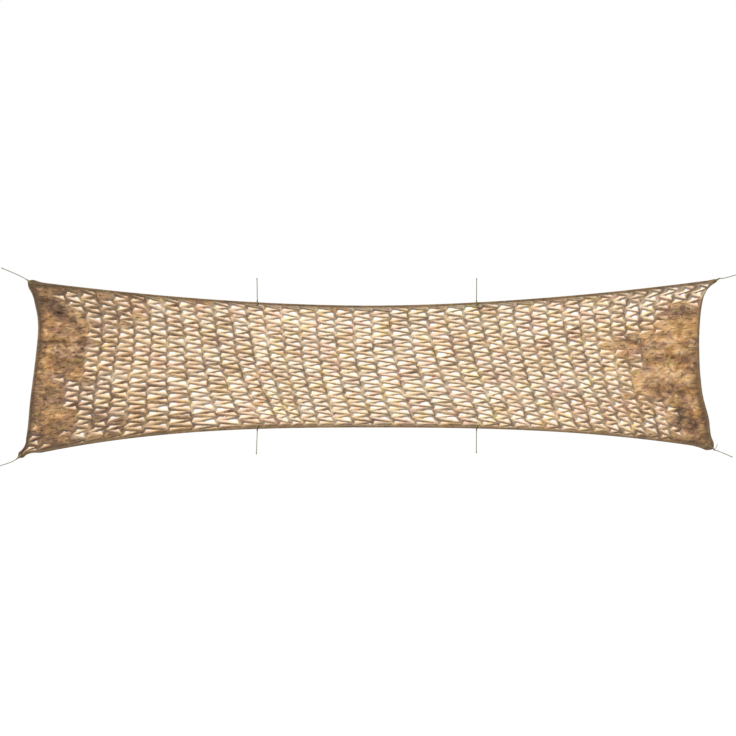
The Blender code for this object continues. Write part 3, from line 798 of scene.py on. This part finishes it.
# Folds of the bunched ends: (x, z) of both ends, half width, and height towards the viewer.
FOLDS = (
    (-2.85, -0.24, -2.61, -0.22, 0.05, 0.014), (-2.88, -0.33, -2.69, -0.34, 0.034, -0.012),
    (-2.79, -0.4, -2.58, -0.4, 0.038, 0.014), (-2.85, -0.43, -2.76, -0.46, 0.034, -0.01),
    (-2.73, -0.53, -2.52, -0.52, 0.038, -0.014), (-2.72, -0.07, -2.55, -0.24, 0.034, -0.014),
    (-2.77, -0.76, -2.73, -0.9, 0.034, -0.012), (-2.85, -0.97, -2.72, -1.01, 0.04, 0.012),
    (-2.93, -1.1, -2.85, -1.04, 0.034, 0.01), (-2.85, -1.17, -2.76, -1.2, 0.034, -0.01),
    (2.75, -0.06, 2.84, -0.1, 0.04, -0.01), (2.49, -0.35, 2.86, -0.33, 0.042, 0.013),
    (2.46, -0.49, 2.86, -0.48, 0.042, -0.013), (2.44, -0.62, 2.88, -0.67, 0.05, 0.015),
    (2.53, -0.75, 2.8, -0.78, 0.036, -0.015), (2.53, -0.95, 2.68, -1.01, 0.04, 0.012),
    (2.75, -0.92, 2.78, -1.08, 0.036, -0.011), (2.1, -0.26, 2.2, -0.68, 0.06, 0.012),
    # Smaller creases between them.
    (-2.92, 0.075, -2.72, -0.07, 0.034, -0.015), (-2.72, -0.07, -2.52, -0.23, 0.03, -0.015),
    (-2.92, 0.08, -2.67, -0.04, 0.022, -0.009), (-2.8, -0.14, -2.56, -0.2, 0.024, 0.008),
    (-2.66, -0.1, -2.54, -0.23, 0.02, -0.009), (-2.88, -0.2, -2.74, -0.27, 0.02, -0.008),
    (-2.78, -0.29, -2.6, -0.31, 0.02, 0.008), (-2.74, -0.46, -2.56, -0.45, 0.02, 0.008),
    (-2.66, -0.35, -2.5, -0.4, 0.018, -0.007), (-2.9, -0.5, -2.8, -0.62, 0.022, 0.008),
    (-2.84, -0.66, -2.8, -0.8, 0.02, -0.008), (-2.92, -0.75, -2.86, -0.92, 0.02, 0.008),
    (-2.86, -0.86, -2.72, -0.84, 0.02, 0.007), (-2.8, -1.08, -2.66, -1.12, 0.02, -0.008),
    (-2.98, -1.18, -2.9, -1.1, 0.02, 0.006), (2.62, -0.12, 2.74, 0.0, 0.022, 0.008),
    (2.8, 0.0, 2.86, -0.14, 0.02, -0.008), (2.6, -0.22, 2.84, -0.24, 0.022, 0.009),
    (2.5, -0.29, 2.7, -0.27, 0.018, -0.007), (2.56, -0.42, 2.84, -0.4, 0.02, 0.008),
    (2.5, -0.55, 2.7, -0.57, 0.02, 0.008), (2.66, -0.7, 2.88, -0.74, 0.02, -0.008),
    (2.84, -0.82, 2.92, -0.95, 0.022, 0.009), (2.62, -0.86, 2.72, -0.8, 0.02, 0.008),
    (2.88, -1.02, 2.95, -1.16, 0.02, -0.008), (2.72, -1.1, 2.84, -1.16, 0.02, 0.007),
    (2.08, -0.34, 2.14, -0.56, 0.024, -0.008), (2.18, -0.4, 2.24, -0.58, 0.02, 0.007),
)
# Crumples where the cloth is bunched: (folds a metre, height), the larger ones and the smaller on them.
CRUMPLES = ((11.0, 0.0075), (21.0, 0.0035))
# Painted shade in the crumples' troughs, and how pale the painted highlight on their crests may be.
CRUMPLE_SHADE = 0.275
PALEST_CRUMPLE_HIGHLIGHT = -0.45
# They wander (metres, waves a metre), are narrower along z, fall off from sharp crests (height, slope),
# and grow as the cloth is bunched from none to full.
CRUMPLE_WARP = (0.05, 6.0)
CRUMPLE_SQUEEZE = 1.25
CRUMPLE_FORM = (0.55, 2.2)
CRUMPLE_FROM = (0.35, 1.0)
# Pleats that run out from each tie: (depth, reach, shade) at the corners and at the long edges.
CORNER_PLEATS = (0.0045, 0.16, 0.35)
EDGE_PLEATS = (0.002, 0.07, 0.2)
PLEATS_ROUND = 13
PLEATS_TURNED = 0.7
PLEATS_START = 0.03
# How far the corners' shade reaches.
CORNER_SHADE_REACH = 0.5
# Painted shade in the troughs of folds: how dark it is, the depth of a full one, and how pale the painted
# highlight on a crest may be.
TROUGH_SHADE = 0.5
TROUGH_DEPTH = 0.014
PALEST_CREST_HIGHLIGHT = -0.3
# Where the cloth sags back in the shade of its own folds: (x, z, reach along x, along z, shade).
SHADED = (
    (-2.9, 0.05, 0.34, 0.34, 0.26), (-2.9, -1.15, 0.4, 0.3, 0.2), (-2.1, -1.02, 0.5, 0.14, 0.28),
    (-2.78, -1.24, 0.16, 0.09, 0.25), (-2.86, -0.66, 0.22, 0.4, 0.1), (2.9, -1.05, 0.4, 0.26, 0.12),
    (2.3, -0.98, 0.5, 0.12, 0.04), (2.9, 0.02, 0.2, 0.2, 0.08), (-2.58, -0.8, 0.24, 0.2, 0.16),
)
# Beside the hem the cloth is gathered, and its shade there is painted darker: (x, shade) along the top and
# the bottom.
TOP_GATHER_SHADE = ((-3.1, 0.6), (-2.5, 0.5), (-2.0, 0.22), (0.0, 0.05), (2.0, 0.08), (3.1, 0.05))
BOTTOM_GATHER_SHADE = (
    (-3.1, 0.5), (-2.4, 0.72), (-1.7, 0.6), (-0.7, 0.4), (0.9, 0.35), (1.7, 0.2), (2.4, 0.5), (3.1, 0.65),
)
GATHER_FADE = (0.018, 0.07)
# The height between the gathers of the two long edges, and the tone from which a place is hem.
MID_HEIGHT = -0.5
HEM_ITSELF = 0.9
# The hem's turned-in cloth shows through beside it: (distance inside the edge, share of the hem's tone).
HEM_TONE = ((0.018, 0.85), (0.028, 0.6), (0.04, 0.0))


def border_distance(x, z):
    """Roughly how far points of the cloth lie inside its nearest edge."""
    down = np.clip((TOP_LEFT.y - z) / (TOP_LEFT.y - BOTTOM_LEFT.y), 0.0, 1.0)
    left_bow, right_bow = (np.array([value_along(bow, share) for share in down])
                           for bow in (LEFT_END_BOW, RIGHT_END_BOW))
    left = TOP_LEFT.x + (BOTTOM_LEFT.x - TOP_LEFT.x) * down + left_bow
    right = TOP_RIGHT.x + (BOTTOM_RIGHT.x - TOP_RIGHT.x) * down - right_bow
    return np.minimum.reduce((edge_height(x, *TOP_EDGE) - z, z - edge_height(x, *BOTTOM_EDGE),
                              x - left, right - x))


def crumple(x, z):
    """Heights of the crumples at a place, in shares of their full ones: sharp ridges, round troughs."""
    shift, waves = CRUMPLE_WARP
    warp = noise.noise(Vector((x * waves, 5.0, z * waves))) * shift
    crest, fall = CRUMPLE_FORM
    return [crest - fall * abs(noise.noise(Vector((
        (x + warp) * folds, folds, (z - warp) * folds * CRUMPLE_SQUEEZE)))) for folds, _ in CRUMPLES]


# The corners are drawn together, or spread, across the way that their ties pull.
for place, (corner, _, _, shape) in CORNERS.items():
    outward = Vector(TIES[place][1]).xz.normalized()
    across = Vector((-outward.y, outward.x))
    for vert in net.verts:
        away = vert.co.xz - corner
        inwards = -away.dot(outward)
        if inwards >= TIP and away.length <= shape[-1][0]:
            moved = across * (away.dot(across) * (value_along(shape, inwards) - 1))
            vert.co.x += moved.x
            vert.co.z += moved.y
xs, zs = np.array([vert.co.xz for vert in net.verts], dtype=float).T
bunched, lifts, shades, borders = (
    np.array([vert[layer] for vert in net.verts])
    for layer in (bunch_layer, lift_layer, shade_layer, border_layer))
inside = border_distance(xs, zs)
# Slack waves and folds, calm at the border. Folds are soft ridges and troughs that fade past their ends.
depths = HEM_WAVE[0] * np.sin(math.tau * xs / HEM_WAVE[1] + HEM_WAVE[2])
slack = smooth_step(FLAT_BORDER, SLACK_BORDER, inside)
for height, length, drop, phase in BILLOWS:
    depths += slack * height * np.sin(math.tau * (xs / length + zs / drop) + phase)
folded = np.zeros_like(xs)
for x0, z0, x1, z1, half_width, lift in FOLDS:
    run_x, run_z = x1 - x0, z1 - z0
    share = np.clip(((xs - x0) * run_x + (zs - z0) * run_z) / (run_x ** 2 + run_z ** 2), 0.0, 1.0)
    gap = np.hypot(xs - x0 - run_x * share, zs - z0 - run_z * share)
    folded += lift * np.exp(-((gap / half_width) ** 2))
depths -= smooth_step(FLAT_BORDER, 2 * FLAT_BORDER, inside) * folded
depths -= smooth_step(*LIFT_FADE, inside) * lifts
shades += TROUGH_SHADE * np.clip(-folded / TROUGH_DEPTH, PALEST_CREST_HIGHLIGHT, 1.0)
crumples = np.array([crumple(x, z) for x, z in zip(xs, zs)]).T
crumples *= smooth_step(*CRUMPLE_FROM, bunched) * smooth_step(FLAT_BORDER / 2, FLAT_BORDER * 1.5, inside)
for (folds, height), share in zip(CRUMPLES, crumples):
    depths -= height * share
    shades += CRUMPLE_SHADE * np.clip(-share, PALEST_CRUMPLE_HIGHLIGHT, 1.0)
for *spot, dark in SHADED:
    shades += dark * closeness(xs, zs, *spot)
for place, (anchor, _, _) in TIES.items():
    depth, reach, dark = EDGE_PLEATS if "mid" in place else CORNER_PLEATS
    away_x, away_z = xs - anchor[0], zs - anchor[2]
    far = np.hypot(away_x, away_z)
    wave = np.cos(PLEATS_ROUND * np.arctan2(away_z, away_x) + PLEATS_TURNED)
    wave *= np.exp(-(far / reach) ** 2) * smooth_step(0.0, PLEATS_START, far)
    depths += depth * wave
    shades += dark * np.maximum(wave, 0.0)
    if place in CORNERS:
        dark, tone, reach = CORNERS[place][2]
        shades += dark * np.exp(-(far / CORNER_SHADE_REACH) ** 2)
        borders = np.maximum(borders, tone * np.exp(-(far / reach) ** 4))
# Painted shade beside the gathered hem.
gather_shades = np.where(zs > MID_HEIGHT, np.interp(xs, *zip(*TOP_GATHER_SHADE)), np.interp(xs, *zip(*BOTTOM_GATHER_SHADE)))
shades += gather_shades * (1 - smooth_step(*GATHER_FADE, inside)) * (borders < HEM_ITSELF)
borders = np.maximum(borders, np.interp(inside, *zip(*HEM_TONE)))
for vert, depth, shade, border in zip(net.verts, depths, shades, borders):
    vert.co.y = depth
    vert[shade_layer] = min(max(shade, -1.0), 1.0)
    vert[border_layer] = border
for face in net.faces:
    face.smooth = True
    for loop in face.loops:
        loop[print_layer].uv = loop.vert.co.xz
bmesh.ops.recalc_face_normals(net, faces=net.faces)
seam_places = [vert.co.copy() for vert in seam_line]
cloth_mesh = bpy.data.meshes.new("net_cloth")
net.to_mesh(cloth_mesh)
net.free()

CLOTH_THICKNESS = 0.0012
cloth_guide = add_object("slit_cloth", cloth_mesh)
cloth_guide.vertex_groups.new(name="hem")
solidify = cloth_guide.modifiers.new("thickness", "SOLIDIFY")
solidify.thickness = HEM_THICKNESS
solidify.vertex_group = "hem"
solidify.thickness_vertex_group = CLOTH_THICKNESS / HEM_THICKNESS
solidify.offset = 0.0
thick_mesh = take_mesh("camouflage_net", cloth_guide)
cloth = add_object("camouflage_net", thick_mesh)

# The print: small patches of golden tan, sand, red-brown, dark brown and olive, one over the other.
cloth_finish, cloth_shader = new_finish("camouflage_cloth")
paint = partial(add_node, cloth_finish.node_tree)
print_place = paint("ShaderNodeUVMap", uv_map="print")


def fade(value, low, high, start=0.0, end=1.0, kind="SMOOTHSTEP"):
    """A mask that goes from start to end as the value goes from low to high."""
    return paint("ShaderNodeMapRange", {
        "Value": value, "From Min": low, "From Max": high, "To Min": start, "To Max": end},
        interpolation_type=kind)


def patches(scale, stretch, offset, low, high, detail=4.0, twist=0.6, most=1.0):
    """A mask of printed patches: 0 off them, the most on them, with edges between low and high."""
    turn = paint("ShaderNodeMapping", {
        "Vector": print_place, "Location": offset, "Scale": (1.0, stretch, 1.0)})
    blots = paint("ShaderNodeTexNoise", {
        "Vector": turn, "Scale": scale, "Detail": detail, "Distortion": twist})
    return fade(blots, low, high, end=most)


def spread(name, most):
    """How strongly a vertex value of the cloth shows in its colour."""
    value = paint("ShaderNodeAttribute", attribute_name=name).outputs["Fac"]
    return add_maths(cloth_finish.node_tree, "MULTIPLY", value, most)


def over(below, above, mask, blend="MIX"):
    """A colour over what is below it, where the mask says."""
    below, above = ((*colour, 1.0) if isinstance(colour, tuple) else colour for colour in (below, above))
    return paint("ShaderNodeMix", {"Factor": mask, "A": below, "B": above},
                 data_type="RGBA", blend_type=blend).outputs["Result"]


GOLD = (0.525, 0.302, 0.11)
SAND = (0.64, 0.418, 0.2)
BROWN = (0.27, 0.15, 0.078)
RED_BROWN = (0.215, 0.102, 0.056)
DARK_BROWN = (0.095, 0.055, 0.034)
HEM_OLIVE = (0.082, 0.053, 0.023)
CREASE_SHADE = (0.078, 0.038, 0.018)
CREST_HIGHLIGHT = (0.83, 0.62, 0.43)
PINK_TAN = (0.5, 0.3, 0.205)
YELLOW_OLIVE = (0.43, 0.345, 0.115)
THIN_CLOTH_LIT_THROUGH = (0.88, 0.74, 0.54)
THICK_CLOTH_SHADE = (0.62, 0.45, 0.26)
WRINKLE_CREST_HIGHLIGHT = (0.7, 0.47, 0.23)

# (colour, scale in patches a metre, stretch, offset, low and high edge, most cover)
INKS = (
    (SAND, 3.0, 1.5, (3.0, 1.0, 0.0), 0.46, 0.6, 0.9),
    (BROWN, 3.4, 1.6, (7.5, 2.5, 0.0), 0.47, 0.63, 0.85),
    (PINK_TAN, 6.5, 1.3, (2.2, 6.1, 0.0), 0.52, 0.62, 0.7),
    (YELLOW_OLIVE, 7.5, 1.3, (11.0, 4.0, 0.0), 0.57, 0.66, 0.55),
    (RED_BROWN, 4.4, 1.5, (5.3, 8.5, 0.0), 0.55, 0.66, 0.8),
    (DARK_BROWN, 5.2, 1.4, (1.5, 9.0, 0.0), 0.6, 0.7, 0.75),
    (SAND, 8.0, 1.4, (4.1, 2.2, 0.0), 0.6, 0.68, 0.8),
)
colour = GOLD
for ink, scale, stretch, offset, low, high, most in INKS:
    colour = over(colour, ink, patches(scale, stretch, offset, low, high, most=most))
# The dye took unevenly: fine mottling, darker and lighter.
mottle = patches(15.0, 1.4, (0.0, 5.0, 0.0), 0.25, 0.75, detail=6.0, twist=0.4)
colour = over(colour, fade(mottle, 0.0, 1.0, 0.6, 1.35, kind="LINEAR"), 0.5, blend="MULTIPLY")
# Where the cloth is pulled open it is one thin layer, and the light that comes through it is painted in as
# a paler colour.
# Bunched up it lies several layers thick, and their shade is painted in as deeper colours.
bunched_up = spread("bunched", 1.0)
colour = over(colour, THIN_CLOTH_LIT_THROUGH, fade(bunched_up, 1.0, 0.5, end=0.7, kind="LINEAR"))
colour = over(colour, THICK_CLOTH_SHADE, fade(bunched_up, 0.5, 1.0, end=0.54, kind="LINEAR"), blend="MULTIPLY")
# Small soft wrinkles where it is bunched: painted shade in their troughs and painted highlights on their
# crests.
wrinkle_turn = paint("ShaderNodeMapping", {
    "Vector": print_place, "Rotation": (0.0, 0.0, 0.35), "Scale": (1.0, 1.3, 1.0)})
wrinkles = paint("ShaderNodeTexNoise", {
    "Vector": wrinkle_turn, "Scale": 17.0, "Detail": 2.0, "Distortion": 1.0})
for shade, low, high in ((CREASE_SHADE, 0.46, 0.3), (WRINKLE_CREST_HIGHLIGHT, 0.54, 0.7)):
    colour = over(colour, shade, fade(wrinkles, low, high, end=spread("bunched", 0.6)))
# Painted highlights where the vertex shade value is below 0, and painted shade where it is above 0.
colour = over(colour, CREST_HIGHLIGHT, spread("painted_shade_and_highlight", -0.9))
colour = over(colour, CREASE_SHADE, spread("painted_shade_and_highlight", 0.9))
# The inks show through as faint yellowish, pinkish and brown tints, most where the cloth is stretched:
# (tint, scale, offset, low edge, strength).
BUNCHED_TINTS = 0.35
TINT_EDGE = 0.09
for tint, scale, offset, low, most in (
    ((0.97, 0.94, 0.66), 6.0, (13.0, 3.0, 0.0), 0.53, 0.75),
    ((1.0, 0.84, 0.9), 6.5, (6.4, 12.0, 0.0), 0.52, 0.75),
    ((0.8, 0.64, 0.46), 7.0, (9.1, 7.3, 0.0), 0.57, 0.6),
):
    strength = fade(bunched_up, 0.5, 1.0, most, most * BUNCHED_TINTS, kind="LINEAR")
    tinted = patches(scale, 1.3, offset, low, low + TINT_EDGE, most=strength)
    colour = over(colour, tint, tinted, blend="MULTIPLY")
colour = over(colour, HEM_OLIVE, spread("border", 0.69))

# In relief: puckers that run across the sewn hem, the wrinkles, and the weave, its threads half a
# millimetre apart both ways.
PUCKERS = 90.0
THREADS = 1900.0
puckers = paint("ShaderNodeTexNoise", {"Vector": print_place, "Scale": PUCKERS, "Detail": 2.0})
threads = [paint("ShaderNodeTexWave", {"Vector": print_place, "Scale": THREADS / math.tau},
                 bands_direction=way).outputs["Fac"] for way in ("X", "Y")]
relief = {}
for height, strength, depth in (
    (puckers, spread("border", 0.7), 0.006),
    (wrinkles, spread("bunched", 0.6), 0.018),
    (add_maths(cloth_finish.node_tree, "MAXIMUM", *threads), 0.35, 0.0002),
):
    relief["Normal"] = paint("ShaderNodeBump", {
        "Height": height, "Strength": strength, "Distance": depth, **relief})
set_inputs(cloth_shader, {"Base Color": colour, "Roughness": 0.82, "Sheen Weight": 0.15, **relief})
thick_mesh.materials.append(cloth_finish)

# The hem's stitches: one line of thick thread near its inner edge, seen on both faces.
STITCH_PITCH = 0.0085
STITCH_LENGTH = 0.0056
THREAD_THICKNESS = 0.0013
STITCH_HEIGHT = 0.0033

hem_stitches, given, stitch_inputs = new_group("hem_stitches", {
    "Seam": "Geometry", "Pitch": STITCH_PITCH, "Stitch length": STITCH_LENGTH,
    "Thread thickness": THREAD_THICKNESS, "Thread": "Material"})
stitch_node = partial(add_node, hem_stitches)
stitch_spots = stitch_node("GeometryNodeResampleCurve", {
    "Curve": given["Seam"], "Length": given["Pitch"]}, mode="LENGTH")
seam_direction = stitch_node("GeometryNodeInputTangent")
along_seam = stitch_node("FunctionNodeAlignRotationToVector", {"Vector": seam_direction}, axis="X")
bead = stitch_node("GeometryNodeMeshIcoSphere", {"Radius": 0.5, "Subdivisions": 1})
bead_size = stitch_node("ShaderNodeCombineXYZ", {
    "X": given["Stitch length"], "Y": given["Thread thickness"], "Z": given["Thread thickness"]})
placed = stitch_node("GeometryNodeInstanceOnPoints", {
    "Points": stitch_spots, "Instance": bead, "Rotation": along_seam, "Scale": bead_size})
end_group(hem_stitches, "Stitches", placed, given["Thread"])

seam = lay_guide("hem_seam", [[(point.x, point.y + side * STITCH_HEIGHT, point.z) for point in seam_places]
                              for side in (-1, 1)], closed=True)
sewing = seam.modifiers.new("hem_stitches", "NODES")
sewing.node_group = hem_stitches
sewing[stitch_inputs["Thread"]] = cord_finish
stitches = add_object("hem_stitches", take_mesh("hem_stitches", seam))

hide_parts("net_cloth")
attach(cloth, "root")
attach(stitches, "root")
